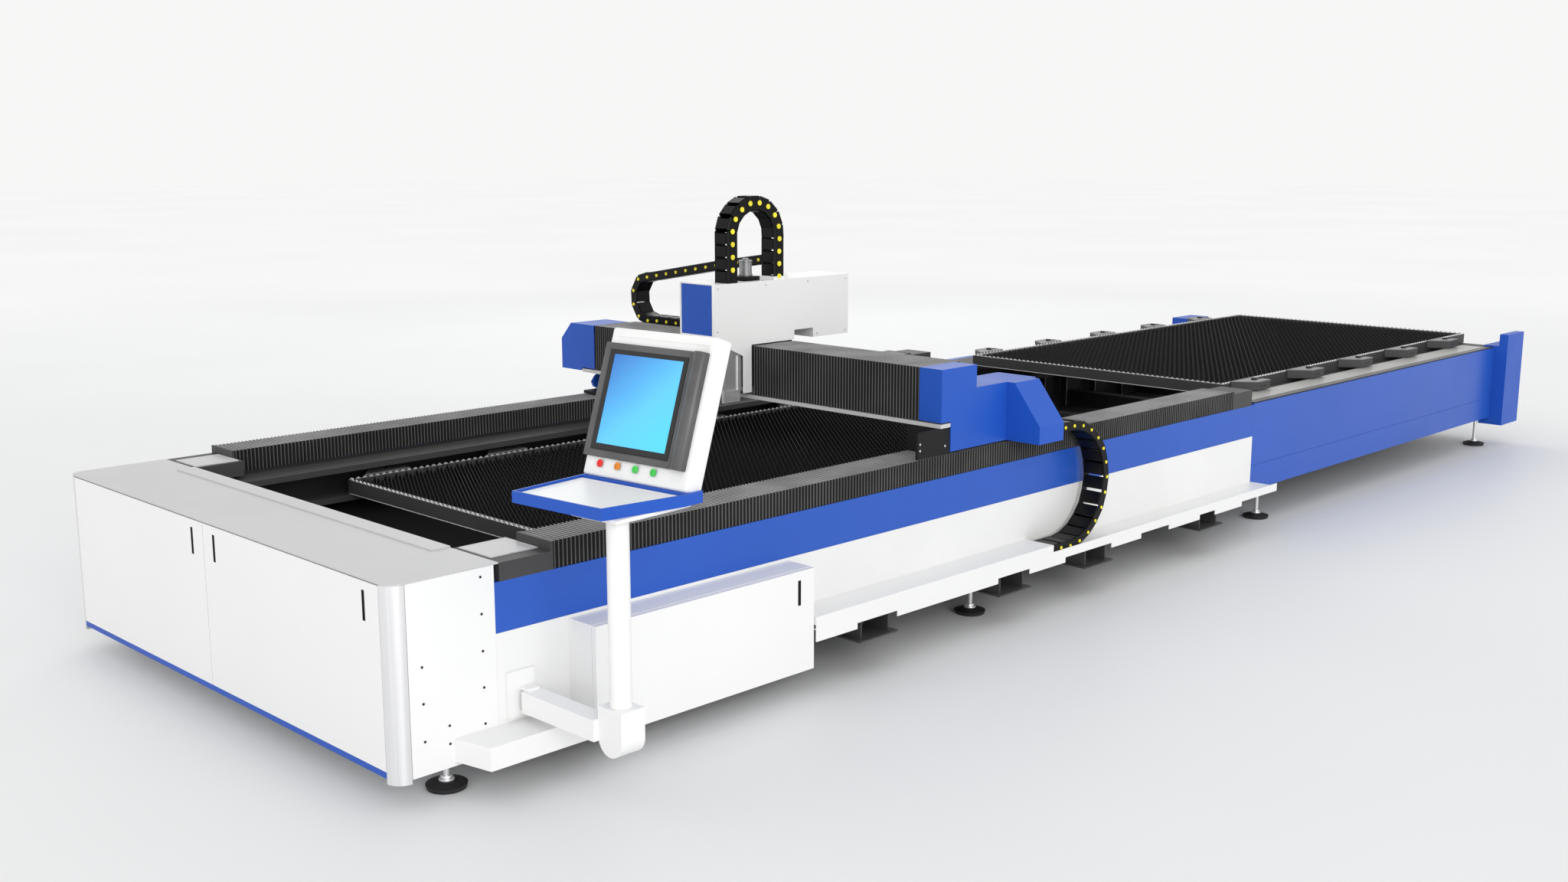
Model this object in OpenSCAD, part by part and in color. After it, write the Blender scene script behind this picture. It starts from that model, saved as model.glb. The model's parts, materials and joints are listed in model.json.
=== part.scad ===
// Gantry sheet cutting machine with a two-pallet exchange table.
// Machine axes while modelling: X runs from the front cabinet to the exchange table,
// Y = 0 is the bed's middle with the operator's side at -Y, Z = 0 is the floor.

/* [Bed] */
// Half of the bed's width
side_y = 1110; // [1100:5:1120]
// Width of the long side beams and of the rail bellows on them
beam_w = 173; // [165:1:180]
// Underside of the side beams
beam_z0 = 463; // [440:1:470]
// Top of the side beams
beam_z1 = 620; // [605:1:625]
// Underside of the bed's frame
bed_z0 = 168; // [160:1:180]
// End of the bed at the exchange table
bed_x1 = 4850; // [4840:1:4860]

/* [Cabinet] */
// Front face of the cabinet
cab_x0 = -45; // [-60:1:-30]
// Back of the cabinet
cab_x1 = 312; // [300:1:320]
// Underside of the cabinet
cab_z0 = 92; // [80:1:95]
// Top of the cabinet
cab_z1 = 680; // [665:1:685]
// Radius of the front corner columns
corner_r = 52; // [50:1:60]
// Where the two doors meet
seam_y = 20; // [0:1:40]
// Thickness of the sheet metal
sheet = 4; // [3:0.5:5]

/* [Rail bellows] */
// Top of the rail bellows
bellows_z1 = 709; // [700:1:715]
// Front end of the rail bellows
bellows_x0 = 532; // [520:1:540]
// Back end of the rail bellows
bellows_x1 = 4640; // [4630:1:4650]

/* [Gantry] */
// Front end of the saddles and back end of the front bellows
saddle_x0 = 2400; // [2395:1:2405]
// Front end of the black apron on the operator's saddle
apron_x0 = 2262; // [2255:1:2270]
// Back end of the saddles
saddle_x1 = 3005; // [3000:1:3015]
// Front face of the gantry's bellows
beam_x0 = 2400; // [2395:1:2405]
// Back face of the gantry's bellows
beam_x1 = 2655; // [2650:1:2660]
// Top of the saddle blocks, where the beam's flange rests
saddle_z1 = 815; // [810:1:820]
// Top of the gantry's bellows
gantry_z1 = 1045; // [1040:1:1050]
// How far the far end cap reaches from the middle
cap_y = 1255; // [1250:1:1260]

/* [Carriage] */
// Operator's side of the carriage
car_y0 = -69; // [-72:1:-66]
// Far side of the carriage
car_y1 = 135; // [132:1:138]
// Front of the carriage
car_x0 = 2175; // [2170:1:2180]
// Back of the carriage
car_x1 = 3004; // [2990:1:3010]
// Top of the carriage
car_z1 = 1318; // [1310:1:1320]

/* [Pallets] */
// Length of a pallet
pallet_l = 3095; // [3085:1:3105]
// Half of a pallet's width
pallet_y = 812; // [810:1:816]
// Front end of the pallet on the exchange table
outer_x0 = 5065; // [5055:1:5075]
// Top of the pallet on the exchange table
outer_z1 = 675; // [672:1:677]
// Front end of the pallet in the bed
inner_x0 = 950; // [940:1:960]
// Top of the pallet in the bed
inner_z1 = 555; // [552:1:556]
// Distance between slats
slat_pitch = 50; // [50:5:80]

/* [Exchange frame] */
// Underside of the exchange frame's sides
exch_z0 = 185; // [180:1:190]
// Top of the exchange frame's sides
exch_z1 = 625; // [620:1:630]
// Front of the end posts
post_x0 = 7895; // [7885:1:7905]
// Back of the end posts
post_x1 = 8150; // [8140:1:8155]
// Outer face of the end posts
post_y = 1190; // [1180:1:1195]

/* [Console] */
// Console post's axis along the bed
post_axis_x = 435; // [430:1:440]
// Console post's axis across the bed
post_axis_y = -1540; // [-1545:1:-1535]
// Top of the keyboard tray's rim
tray_z1 = 915; // [905:1:920]
// How far the console is turned about its post, degrees
console_turn = 5; // [0:1:10]
// How far the monitor housing leans back, degrees
lean = 18.5; // [15:0.5:21]

/* [Hidden] */
$fn = 48;
console_y0 = post_axis_y + 190 * sin(console_turn) - 85 * cos(console_turn);
mid_x = (cab_x0 + outer_x0 + pallet_l) / 2;
mid_y = (console_y0 + cap_y) / 2;
beam_y = side_y - beam_w;
gap = 0.4;
door_t = 20;
flange_z1 = saddle_z1 + 16;
bar_h = 66;
lug_pitch = 606;
lug_y = 925;
far_post_z1 = 640;
far_side_z1 = 604;
ledge_t = 24;
shelf_z1 = exch_z1;
x_chain_y = [-1242, -1132];
x_chain_r = 252;
x_chain_z = 250;
x_chain_cx = 3104;
link_h = 38;
tray_floor_z = 230;
tray_lip_y = -1250;
y_chain_x = [2668, 2760];
y_chain_r = 103;
y_chain_cy = 933;
y_chain_h = 44;
y_tray_z = 1034;
z_chain_y = [-64, 18];
z_chain_x = [2291, 2567];
z_chain_h = 62;
z_chain_cz = 1509.5;
foot_x = [170, 2701, 5075, 7880];
foot_y = 1034;
foot_top = [cab_z0, bed_z0, exch_z0, exch_z0];
box_x = [585, 1554];
box_y0 = -1240;
arm_z = [210, 275];
arm_pin_x = 404.5;
arm_pin_y = -1146;
screen_y = [14, 334];
screen_s = [84, 394];
button_s = 42;
function button_y(i) = 284 - 74 * i;
box_z = [87, 453];

module shift() translate([-mid_x, -mid_y, 0]) children();
// A block from its lowest to its highest coordinate on each axis
module span(x, y, z)
    translate([x[0], y[0], z[0]]) cube([x[1] - x[0], y[1] - y[0], z[1] - z[0]]);
module both_sides() {
    children();
    mirror([0, 1, 0]) children();
}
// An XZ outline given thickness along Y
module along_y(y) translate([0, y[1], 0]) rotate([90, 0, 0]) linear_extrude(y[1] - y[0]) children();
// A YZ outline given thickness along X
module along_x(x)
    translate([x[0], 0, 0]) rotate([90, 0, 90]) linear_extrude(x[1] - x[0]) children();

// ---- front cabinet ----
module cabinet_shell() color("whitesmoke") shift() {
    floor_z = cab_z0;
    roof_z = cab_z1 - sheet;
    column_x = cab_x0 + corner_r;
    door_back = cab_x0 + door_t + 1;
    difference() {
        union() {
            span([column_x + 2, cab_x1], [-side_y, side_y], [floor_z, roof_z - gap]);
            span([door_back, column_x + 3], [-side_y + corner_r + 2, side_y - corner_r - 2],
                [floor_z, roof_z - gap]);
        }
        span([column_x + 2 + sheet, cab_x1 - sheet], [-side_y + sheet, side_y - sheet],
            [floor_z + sheet, roof_z - sheet]);
        span([door_back - 1, column_x + 10], [-side_y + corner_r + 6, side_y - corner_r - 6],
            [floor_z + 20, roof_z - sheet]);
    }
}
module rounded_front(x1) {
    translate([cab_x0 + corner_r, -side_y]) square([x1 - cab_x0 - corner_r, 2 * side_y]);
    translate([cab_x0, -side_y + corner_r]) square([corner_r + 1, 2 * (side_y - corner_r)]);
    for (s = [-1, 1]) translate([cab_x0 + corner_r, s * (side_y - corner_r)]) circle(r = corner_r);
}
module cabinet_top() color("gainsboro") shift() {
    translate([0, 0, cab_z1 - sheet]) linear_extrude(sheet) rounded_front(cab_x1 + 18);
    span([262, cab_x1 + 18], [-860, 860], [cab_z1 - 1, cab_z1 + 5]);
}
module corner_columns() color("silver") shift() both_sides()
    translate([cab_x0 + corner_r, -side_y + corner_r, cab_z0 - 13])
        intersection() {
            difference() {
                cylinder(r = corner_r, h = cab_z1 - sheet - gap - cab_z0 + 13);
                translate([0, 0, 8]) cylinder(r = corner_r - sheet, h = cab_z1);
            }
            translate([-corner_r, -corner_r, 0]) cube([corner_r, corner_r, cab_z1]);
        }
module kick_strip() color("royalblue") shift()
    span([cab_x0 + 1, cab_x0 + door_t], [-side_y + corner_r + 1, side_y - corner_r - 1],
        [cab_z0 + 2, cab_z0 + 22]);
// A door leaf with slot handles at the given places
module door_leaf(y, slots) difference() {
    span([cab_x0, cab_x0 + door_t], y, [cab_z0 + 23, cab_z1 - sheet - 4]);
    span([cab_x0 + 3, cab_x0 + door_t + 1], [y[0] + 20, y[1] - 20],
        [cab_z0 + 43, cab_z1 - sheet - 24]);
    for (s = slots) span([cab_x0 - 1, cab_x0 + 5], [s - 7, s + 7], [553, 645]);
}
module cabinet_door_far() color("white") shift()
    door_leaf([seam_y + 2, side_y - corner_r - 2], [100]);
module cabinet_door_near() color("white") shift()
    door_leaf([-side_y + corner_r + 2, seam_y - 2], [-55, -975]);

// ---- bed ----
module side_beams() color("royalblue") shift() both_sides() difference() {
    span([cab_x1 + gap, bed_x1], [-side_y, -beam_y], [beam_z0, beam_z1]);
    span([cab_x1 + 8, bed_x1 - 8], [-side_y + 8, -beam_y - 8], [beam_z0 + 8, beam_z1 - 8]);
}
module side_panels() color("white") shift() both_sides()
    span([cab_x1 + gap, bed_x1], [-side_y, -side_y + sheet], [bed_z0, beam_z0 - gap]);
module bed_frame() color("dimgray") shift() {
    cross_x = [330, 1450, 2570, 3690, 4750];
    both_sides() {
        span([cab_x1 + 2, bed_x1 - 2], [-side_y + sheet + 1, -beam_y], [bed_z0, bed_z0 + 90]);
        for (x = cross_x) span([x, x + 90], [-side_y + sheet + 1, -beam_y],
            [bed_z0 + 90 + gap, beam_z0 - gap]);
    }
    for (x = cross_x) span([x, x + 90], [-beam_y + gap, beam_y - gap], [bed_z0, bed_z0 + 90]);
}
// Slag trough between the side beams
module bed_floor() color([0.12, 0.12, 0.12]) shift() {
    trough_z = bed_z0 + 92;
    along_x([cab_x1 + 4, bed_x1 - 4]) difference() {
        polygon([[-beam_y + 2, 440], [-500, trough_z], [500, trough_z], [beam_y - 2, 440]]);
        polygon([[-beam_y + 10, 441], [-498, trough_z + 5], [498, trough_z + 5], [beam_y - 10, 441]]);
    }
}
module x_rails() color("lightslategray") shift() both_sides() {
    rail_x = [bellows_x0 + 10, bellows_x1 - 10];
    span(rail_x, [-1055, -1025], [beam_z1, beam_z1 + 30]);
    span(rail_x, [-995, -965], [beam_z1, beam_z1 + 30]);
}
// Fixed blocks at both ends of the rail bellows, with a pale lid on the front ones
module bellows_end_blocks() color([0.2, 0.2, 0.2]) shift() both_sides() {
    span([cab_x1 + 20, bellows_x0 - gap], [-side_y, -beam_y + 72], [beam_z1, 678]);
    span([bellows_x0 - 10, bellows_x0 - gap], [-side_y, -beam_y], [677, bellows_z1]);
    span([bellows_x1 + gap, 4826], [-side_y, -beam_y], [beam_z1, 698]);
    span([bellows_x1 + gap, bellows_x1 + 8], [-side_y, -beam_y], [697, bellows_z1]);
}

// ---- cable trays and anchors on the operator's side ----
// Tray lip: deep where it is braced, shallow over the anchors
lip_cuts = [[1770, 1990], [2601, 2811], [3060, 3404], [3637, 3868], [4133, 4271], [4520, 4862]];
module cable_trays() color("white") shift() {
    difference() {
        union() {
            span([box_x[1] + 2, 4862], [tray_lip_y, -side_y - gap], [tray_floor_z - sheet, tray_floor_z]);
            span([box_x[1] + 2, 4862], [tray_lip_y, tray_lip_y + sheet], [184, tray_floor_z + 14]);
            span([4852, 4862], [tray_lip_y, -side_y - gap], [205, tray_floor_z]);
        }
        for (c = lip_cuts) span(c, [tray_lip_y - 1, tray_lip_y + sheet + 1], [180, 206]);
    }
    // low shelf under the console's arm
    difference() {
        translate([0, 0, 105]) linear_extrude(72)
            polygon([[156, -side_y - gap], [184, -1250], [box_x[0] - 2, -1250], [box_x[0] - 2, -side_y - gap]]);
        translate([0, 0, 104]) linear_extrude(69)
            polygon([[164, -side_y], [188, -1246], [box_x[0] - 6, -1246], [box_x[0] - 6, -side_y]]);
    }
}
// Raised cover over the fixed stretch of the long cable chain
module tray_cover() color("white") shift() difference() {
    span([box_x[1] + 2, 2972], [tray_lip_y - 0.5, -side_y - gap], [tray_floor_z + 14.3, 274]);
    span([box_x[1] + 6, 2973], [tray_lip_y + 3.5, -side_y - 4], [tray_floor_z + 13, 270.5]);
}
module anchor_brackets() color([0.25, 0.25, 0.25]) shift()
    for (x = [1880, 2706, 3300, 4231]) {
        span([x - 105, x + 105], [-1258, -side_y - gap], [130, 136]);
        for (s = [-1, 1]) span([x + s * 75 - 4, x + s * 75 + 4], [-1236, -side_y - gap], [136, 205]);
        span([x - 75, x + 75], [-1122, -1114], [136, 205]);
    }
module foot_pads() color([0.08, 0.08, 0.08]) shift() both_sides()
    for (x = foot_x) translate([x, -foot_y, 0]) {
        cylinder(r1 = 60, r2 = 63.5, h = 14);
        translate([0, 0, 14]) cylinder(r1 = 63.5, r2 = 30, h = 10);
    }
module foot_studs() color("silver") shift() both_sides()
    for (i = [0:3]) translate([foot_x[i], -foot_y, 24]) cylinder(r = 10, h = foot_top[i] - 24);

// ---- electrical box ----
module electrical_box() color("white") shift() difference() {
    span(box_x, [box_y0 + door_t, -side_y - gap], box_z);
    span([box_x[0] + 4, box_x[1] - 4], [box_y0 + door_t - 1, -side_y - 5], [box_z[0] + 4, box_z[1] - 4]);
}
module electrical_door() color("white") shift() difference() {
    span([box_x[0] + 1, box_x[1] - 1], [box_y0, box_y0 + door_t - 1], [box_z[0] + 1, box_z[1] - 1]);
    span([box_x[0] + 22, box_x[1] - 22], [box_y0 + 3, box_y0 + door_t], [box_z[0] + 22, box_z[1] - 22]);
    span([1473, 1487], [box_y0 - 1, box_y0 + 4], [330, 420]);
}

// ---- exchange table ----
module table_side(z1) difference() {
    span([bed_x1 + gap, post_x0 - gap], [-side_y, -1050], [exch_z0, z1]);
    span([bed_x1 + 6, post_x0 - 6], [-side_y + 6, -1056], [exch_z0 + 6, z1 - 6]);
    // bend line along the outside
    span([bed_x1 - 1, 7746], [-side_y - 1, -side_y + 2], [311, 315]);
}
module exchange_sides() color("royalblue") shift() {
    table_side(exch_z1);
    mirror([0, 1, 0]) table_side(far_side_z1);
}
// The operator's side has a tall post that guards the strip, the far side a low one
module end_post(top) difference() {
    union() {
        span([post_x0, post_x1], [-post_y, -1045], [140, far_post_z1]);
        if (top > far_post_z1)
            span([post_x0, post_x1], [-post_y, -1138], [far_post_z1 - 1, top]);
    }
    span([post_x0 + 6, post_x1 - 6], [-post_y + 6, -1051], [146, far_post_z1 - 6]);
    if (top > far_post_z1)
        span([post_x0 + 6, post_x1 - 6], [-post_y + 6, -1144], [far_post_z1 - 7, top - 6]);
}
module exchange_end_posts() color("royalblue") shift() {
    end_post(714);
    mirror([0, 1, 0]) end_post(far_post_z1);
}
module exchange_cross_frame() color([0.2, 0.2, 0.2]) shift() {
    for (x = [bed_x1 + 30, 5600, 6400, 7200, 8040])
        span([x, x + 80], [-1045, 1045], [exch_z0 + 4, exch_z0 + 104]);
    // sheet floor under the pallets
    span([bed_x1 + 12, 8120], [-1044, 1044], [exch_z0, exch_z0 + 6]);
    // upright plates at the mouth of the bed, ribs along both sides
    both_sides() {
        span([bed_x1 + 30, bed_x1 + 36], [-1044, -860], [exch_z0 + 100, 440]);
        for (x = [5380, 5720, 6060, 6300, 6630, 6960, 7300, 7640])
            span([x, x + 5], [-1044, -1000], [exch_z0 + 5, 440]);
    }
}
// Shelves at two levels that the pallets run on, in the bed and through the exchange table
module pallet_rails() color("darkgray") shift() both_sides() {
    for (z = [inner_z1, outer_z1]) {
        top = z - bar_h - gap;
        span([cab_x1 + 33, bed_x1 - 20], [-beam_y + gap, -790], [top - ledge_t, top]);
        span([bed_x1 + 20, post_x0 + 250], [-1045, -790], [top - ledge_t, top]);
    }
}
// Shelf beside the pallets and the strip along the top of each side
module exchange_top_strips() color("lightgray") shift() {
    span([bed_x1 + 20, post_x0 - gap], [-1049, -905], [shelf_z1 - 6, shelf_z1]);
    span([bed_x1 + 20, post_x0 - gap], [-1100, -1056], [exch_z1 + gap, exch_z1 + 6]);
}

// ---- pallets ----
module pallet_frame(x0, z1) {
    bar_z = [z1 - bar_h, z1 - 8];
    for (s = [0, 1]) mirror([0, s, 0])
        span([x0, x0 + pallet_l], [-pallet_y, -pallet_y + 30], bar_z);
    for (x = [x0, x0 + pallet_l - 30])
        span([x, x + 30], [-pallet_y + 30 + gap, pallet_y - 30 - gap], bar_z);
    for (i = [1:4]) translate([x0 + i * pallet_l / 5, 0, 0])
        span([-20, 20], [-pallet_y + 30 + gap, pallet_y - 30 - gap], [z1 - bar_h, z1 - bar_h + 14]);
    // lugs along both sides, each with a hole for a locating pin
    for (i = [0:4]) both_sides() translate([x0 + 295 + i * lug_pitch, 0, z1 - 45]) difference() {
        linear_extrude(43) polygon([[-215, -pallet_y + 1], [-215, -pallet_y - 8],
            [-130, -lug_y], [0, -lug_y], [0, -pallet_y + 1]]);
        translate([-60, -pallet_y - 56, 20]) cylinder(r = 14, h = 30);
    }
}
module pallet_slats(x0, z1) {
    count = floor((pallet_l - 100) / slat_pitch);
    for (i = [0:count]) translate([x0 + 48 + i * slat_pitch, 0, 0])
        span([-1.5, 1.5], [-pallet_y + 32, pallet_y - 32], [z1 - bar_h + 16, z1]);
}
module outer_pallet_frame() color([0.16, 0.16, 0.16]) shift() pallet_frame(outer_x0, outer_z1);
module outer_pallet_slats() color([0.1, 0.1, 0.1]) shift() pallet_slats(outer_x0, outer_z1);
module inner_pallet_frame() color([0.16, 0.16, 0.16]) shift() pallet_frame(inner_x0, inner_z1);
module inner_pallet_slats() color([0.1, 0.1, 0.1]) shift() pallet_slats(inner_x0, inner_z1);

// ---- gantry ----
module gantry_beam() color("silver") shift() {
    span([beam_x0 - 4, 2455.6], [-side_y, side_y - 12], [saddle_z1 + gap, flange_z1]);
    span([2455, beam_x1 + 10], [-side_y + 12, side_y - 12], [saddle_z1 + gap, flange_z1]);
    difference() {
        span([2450, 2600], [-1090, 1090], [flange_z1 - 1, 1000]);
        span([2460, 2590], [-1091, 1091], [flange_z1 + 9, 990]);
    }
    // shelf for the cross cable chain, on uprights behind the bellows
    span([2662, 2768], [60, 1060], [y_tray_z - 4, y_tray_z]);
    span([beam_x1 + 3, 2700], [60, 960], [saddle_z1 + gap, flange_z1]);
    for (y = [100, 470, 920]) span([2664, 2700], [y, y + 30], [flange_z1 - 1, y_tray_z - 3]);
}
module y_rails() color("lightslategray") shift() {
    span([2500, 2530], [-980, 980], [1000 + gap, 1018]);
    span([2432, 2450 - gap], [-980, 980], [880, 910]);
    span([2570, 2595], [-980, 980], [1000 + gap, 1016]);
}
module saddle_blocks() color([0.15, 0.15, 0.15]) shift() {
    span([saddle_x0 + gap, saddle_x1 - gap], [-side_y + 12, -beam_y], [712, saddle_z1]);
    span([apron_x0, 2455], [-side_y + 2, -side_y + 13], [712, saddle_z1]);
    span([saddle_x0 + gap, saddle_x1 - gap], [beam_y, side_y - 12], [712, 726]);
    span([2530, saddle_x1 - gap], [beam_y, side_y - 12], [725, saddle_z1]);
    both_sides() for (x = [saddle_x0 + 20, saddle_x1 - 140])
        for (y = [-1070, -1010]) span([x, x + 120], [y, y + 60], [beam_z1 + 30.4, 713]);
}
// Pleated skirts that close the gap between the rail bellows under the saddles
module saddle_skirts() color([0.25, 0.25, 0.25]) shift() both_sides()
    for (y = [-side_y, -beam_y - 5])
        span([saddle_x0 + gap, saddle_x1 - gap], [y, y + 5], [beam_z1 + gap, 709]);
module saddle_cover_near() color("royalblue") shift() {
    along_y([-side_y - 2, -side_y + 11.6]) polygon([[2456, 718], [saddle_x1, 718], [saddle_x1, 955],
        [2612, 955], [2612, gantry_z1], [beam_x0 - 4, gantry_z1], [beam_x0 - 4, 837], [2456, 837]]);
    difference() {
        union() {
            span([beam_x0 - 4, 2612], [-side_y + 11, -1000], [837, gantry_z1]);
            span([2608, saddle_x1], [-side_y + 11, -1000], [flange_z1 + gap, 955]);
            span([beam_x1 + 3, saddle_x1], [-1001, -920], [flange_z1 + gap, 955]);
        }
        span([beam_x0, 2608.5], [-side_y + 12, -999], [836, gantry_z1 - 4]);
        span([2612, saddle_x1 - 4], [-side_y + 12, -1004], [flange_z1 - 1, 951]);
        span([beam_x1 + 7, saddle_x1 - 4], [-1005, -924], [flange_z1 - 1, 951]);
    }
    // hood over the end of the long cable chain
    difference() {
        along_x([2810, 2975]) polygon([[-1111, 718], [-1278, 718], [-1278, 790], [-1150, 955], [-1111, 955]]);
        along_x([2814, 2976]) polygon([[-1116, 722], [-1274, 722], [-1274, 788], [-1148, 951], [-1116, 951]]);
    }
}
module saddle_cover_far() color("royalblue") shift() {
    difference() {
        along_x([beam_x0 - 4, 2612]) polygon([[1007, gantry_z1], [1007, flange_z1 + 6],
            [1094, flange_z1 + 6], [1112, 821], [cap_y, 821], [cap_y, 966], [1180, gantry_z1]]);
        along_x([beam_x0, 2608]) polygon([[1006, gantry_z1 - 4], [1006, flange_z1],
            [1118, flange_z1], [1118, 825], [cap_y - 4, 825], [cap_y - 4, 964], [1178, gantry_z1 - 4]]);
    }
    along_y([side_y - 11.6, side_y + 2]) polygon([[2456, 760], [2466, 736], [2500, 718],
        [saddle_x1, 718], [saddle_x1, 820.5], [2530, 820.5], [2475, 785]]);
}
// Drive motors of the long axis, one on each saddle, with their pinions
module x_motors() color([0.12, 0.12, 0.12]) shift() both_sides() {
    translate([2740, -1015, saddle_z1 + gap]) {
        span([-45, 45], [-45, 45], [0, 20]);
        translate([0, 0, 20]) cylinder(r = 38, h = 95);
    }
}

// ---- bellows ----
// A bellows cover with open ends, underside open over the rails
module rail_cover(x) difference() {
    span(x, [-side_y, -beam_y], [beam_z1 + gap, bellows_z1]);
    span([x[0] - 1, x[1] + 1], [-side_y + 5, -beam_y - 5], [beam_z1 - 1, bellows_z1 - 5]);
}
module rail_bellows_front() color([0.25, 0.25, 0.25]) shift()
    both_sides() rail_cover([bellows_x0, saddle_x0]);
module rail_bellows_rear() color([0.25, 0.25, 0.25]) shift()
    both_sides() rail_cover([saddle_x1, bellows_x1]);
module beam_cover(y) difference() {
    span([beam_x0, beam_x1], y, [flange_z1 + gap, gantry_z1]);
    span([beam_x0 + 5, beam_x1 - 5], [y[0] - 1, y[1] + 1], [flange_z1 - 1, gantry_z1 - 5]);
}
module gantry_bellows_near() color([0.25, 0.25, 0.25]) shift() beam_cover([-1000 + gap, car_y0 - gap]);
module gantry_bellows_far() color([0.25, 0.25, 0.25]) shift() beam_cover([car_y1 + gap, 1007 - gap]);

// ---- cable chains ----
// A strand that turns half round, drawn in its own plane: fixed end to moving end
module half_turn(r, h) difference() {
    circle(r = r + h / 2);
    circle(r = r - h / 2);
    translate([-2 * r - h, -2 * r - h]) square([2 * r + h, 4 * r + 2 * h]);
}
module x_chain() color([0.05, 0.05, 0.05]) shift() along_y(x_chain_y) {
    translate([x_chain_cx, x_chain_z + x_chain_r]) half_turn(x_chain_r, link_h);
    translate([1600, x_chain_z - link_h / 2]) square([x_chain_cx - 1600 - 0.2, link_h]);
    translate([2850, x_chain_z + 2 * x_chain_r - link_h / 2]) square([x_chain_cx - 2850 - 0.2, link_h]);
}
module y_chain() color([0.05, 0.05, 0.05]) shift() along_x(y_chain_x) {
    cz = y_tray_z + y_chain_h / 2 + y_chain_r + 0.5;
    top = cz + y_chain_r;
    half = y_chain_h / 2;
    translate([y_chain_cy, cz]) half_turn(y_chain_r, y_chain_h);
    translate([110, cz - y_chain_r - half]) square([y_chain_cy - 110.2, y_chain_h]);
    polygon([[y_chain_cy - 0.2, top - half], [y_chain_cy - 0.2, top + half],
        [160, top + half + 133], [90, top + half + 133], [90, top - half + 133], [160, top - half + 133]]);
}
module z_chain() color([0.05, 0.05, 0.05]) shift() along_y(z_chain_y) {
    mid = (z_chain_x[0] + z_chain_x[1]) / 2;
    r = (z_chain_x[1] - z_chain_x[0]) / 2;
    half = z_chain_h / 2;
    translate([mid, z_chain_cz]) rotate(90) half_turn(r, z_chain_h);
    translate([z_chain_x[0] - half, car_z1 + 1]) square([z_chain_h, z_chain_cz - car_z1 - 1.2]);
    translate([z_chain_x[1] - half, car_z1 + 15]) square([z_chain_h, z_chain_cz - car_z1 - 15.2]);
}

// ---- carriage ----
module carriage_side(t) polygon([[car_x0 + t, 1100 + t], [2257, 1045 + t], [2345 + t, 1005 + t],
    [2345 + t, 845 - t], [beam_x0 - 6 - t, 845 - t], [beam_x0 - 6 - t, gantry_z1 + 5 - t],
    [2656 - t, gantry_z1 + 5 - t], [2656 - t, 1092 - t], [2775 + t, 1092 - t],
    [2775 + t, gantry_z1 + 5 - t], [car_x1 - t, gantry_z1 + 5 - t], [car_x1 - t, car_z1 - t],
    [car_x0 + t, car_z1 - t]]);
module carriage_cover() color("white") shift() difference() {
    union() {
        along_y([car_y0, car_y1]) carriage_side(0);
        // bracket for the cross cable chain
        span([2672, 2756], [70, 130], [car_z1 - 1, 1373]);
        // foot of the upright cable chain
        span([2534, 2600], [-64, 18], [car_z1 - 1, car_z1 + 14]);
    }
    span([car_x0 + 4, car_x1 - 4], [car_y0 + 4, car_y1 - 4], [1096, car_z1 - 4]);
    span([2200, beam_x0 - 10], [car_y0 + 4, car_y1 - 4], [1000, 1097]);
    span([2349, beam_x0 - 10], [car_y0 + 4, car_y1 - 4], [840, 1097]);
    span([beam_x0 - 11, 2652], [car_y0 + 4, car_y1 - 4], [gantry_z1 + 4, 1097]);
    span([2779, car_x1 - 4], [car_y0 + 4, car_y1 - 4], [gantry_z1 + 9, 1097]);
    // way down for the head and up for its chain
    span([2100, 2360], [car_y0 + 4, car_y1 - 4], [840, 1099]);
    span([2256, 2345], [-65, 20], [car_z1 - 5, car_z1 + 1]);
}
module carriage_front_panel() color("royalblue") shift()
    span([car_x0 - 5, car_x0 - gap], [car_y0 + 3, car_y1 - 10], [1101, car_z1 + 2]);
// Carriage casting that rides on the beam's rails
module carriage_plate() color("dimgray") shift() {
    span([2400, 2650], [car_y0 + 8, car_y1 - 8], [1019, 1090]);
    span([2396 + gap, 2431.5], [car_y0 + 8, car_y1 - 8], [870, 1019.1]);
    span([2352, 2388], [car_y0 + 8, car_y1 - 8], [870, 1290]);
    span([2387, 2460], [car_y0 + 8, car_y1 - 8], [1060, 1090.1]);
}
module drive_motors() color([0.12, 0.12, 0.12]) shift() {
    // cross axis motor under the cover, lift motor above the head
    span([2520, 2610], [0, 90], [1090 + gap, 1110]);
    translate([2565, 45, 1110]) cylinder(r = 38, h = 120);
    span([2390, 2480], [-32, 60], [car_z1 + gap, car_z1 + 18]);
    translate([2440, 14, car_z1 + 18]) cylinder(r1 = 26, r2 = 22, h = 66);
}
module z_plate() color("silver") shift() {
    span([2334, 2349.5], [-52, 112], [858, 1296]);
    span([2262, 2334.5], [-60, 14], [1290, car_z1 + gap]);
}
module laser_head() color("lightgray") shift() {
    cx = 2290;
    cy = 30;
    difference() {
        span([2238, 2333.5], [-60, -46], [812, 1048]);
        span([2252, 2322], [-61, -53], [862, 1010]);
    }
    span([2285, 2333.5], [-47, 90], [890, 1044]);
    span([cx - 34, 2333.5], [cy - 36, cy + 36], [880, 1070]);
    translate([cx, cy, 1069]) cylinder(r = 24, h = 130);
    translate([cx, cy, 842]) cylinder(r = 28, h = 39);
    translate([cx, cy, 816]) cylinder(r1 = 10, r2 = 22, h = 26.5);
    translate([cx, cy, 797]) cylinder(r1 = 4, r2 = 10, h = 19.5);
}

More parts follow.
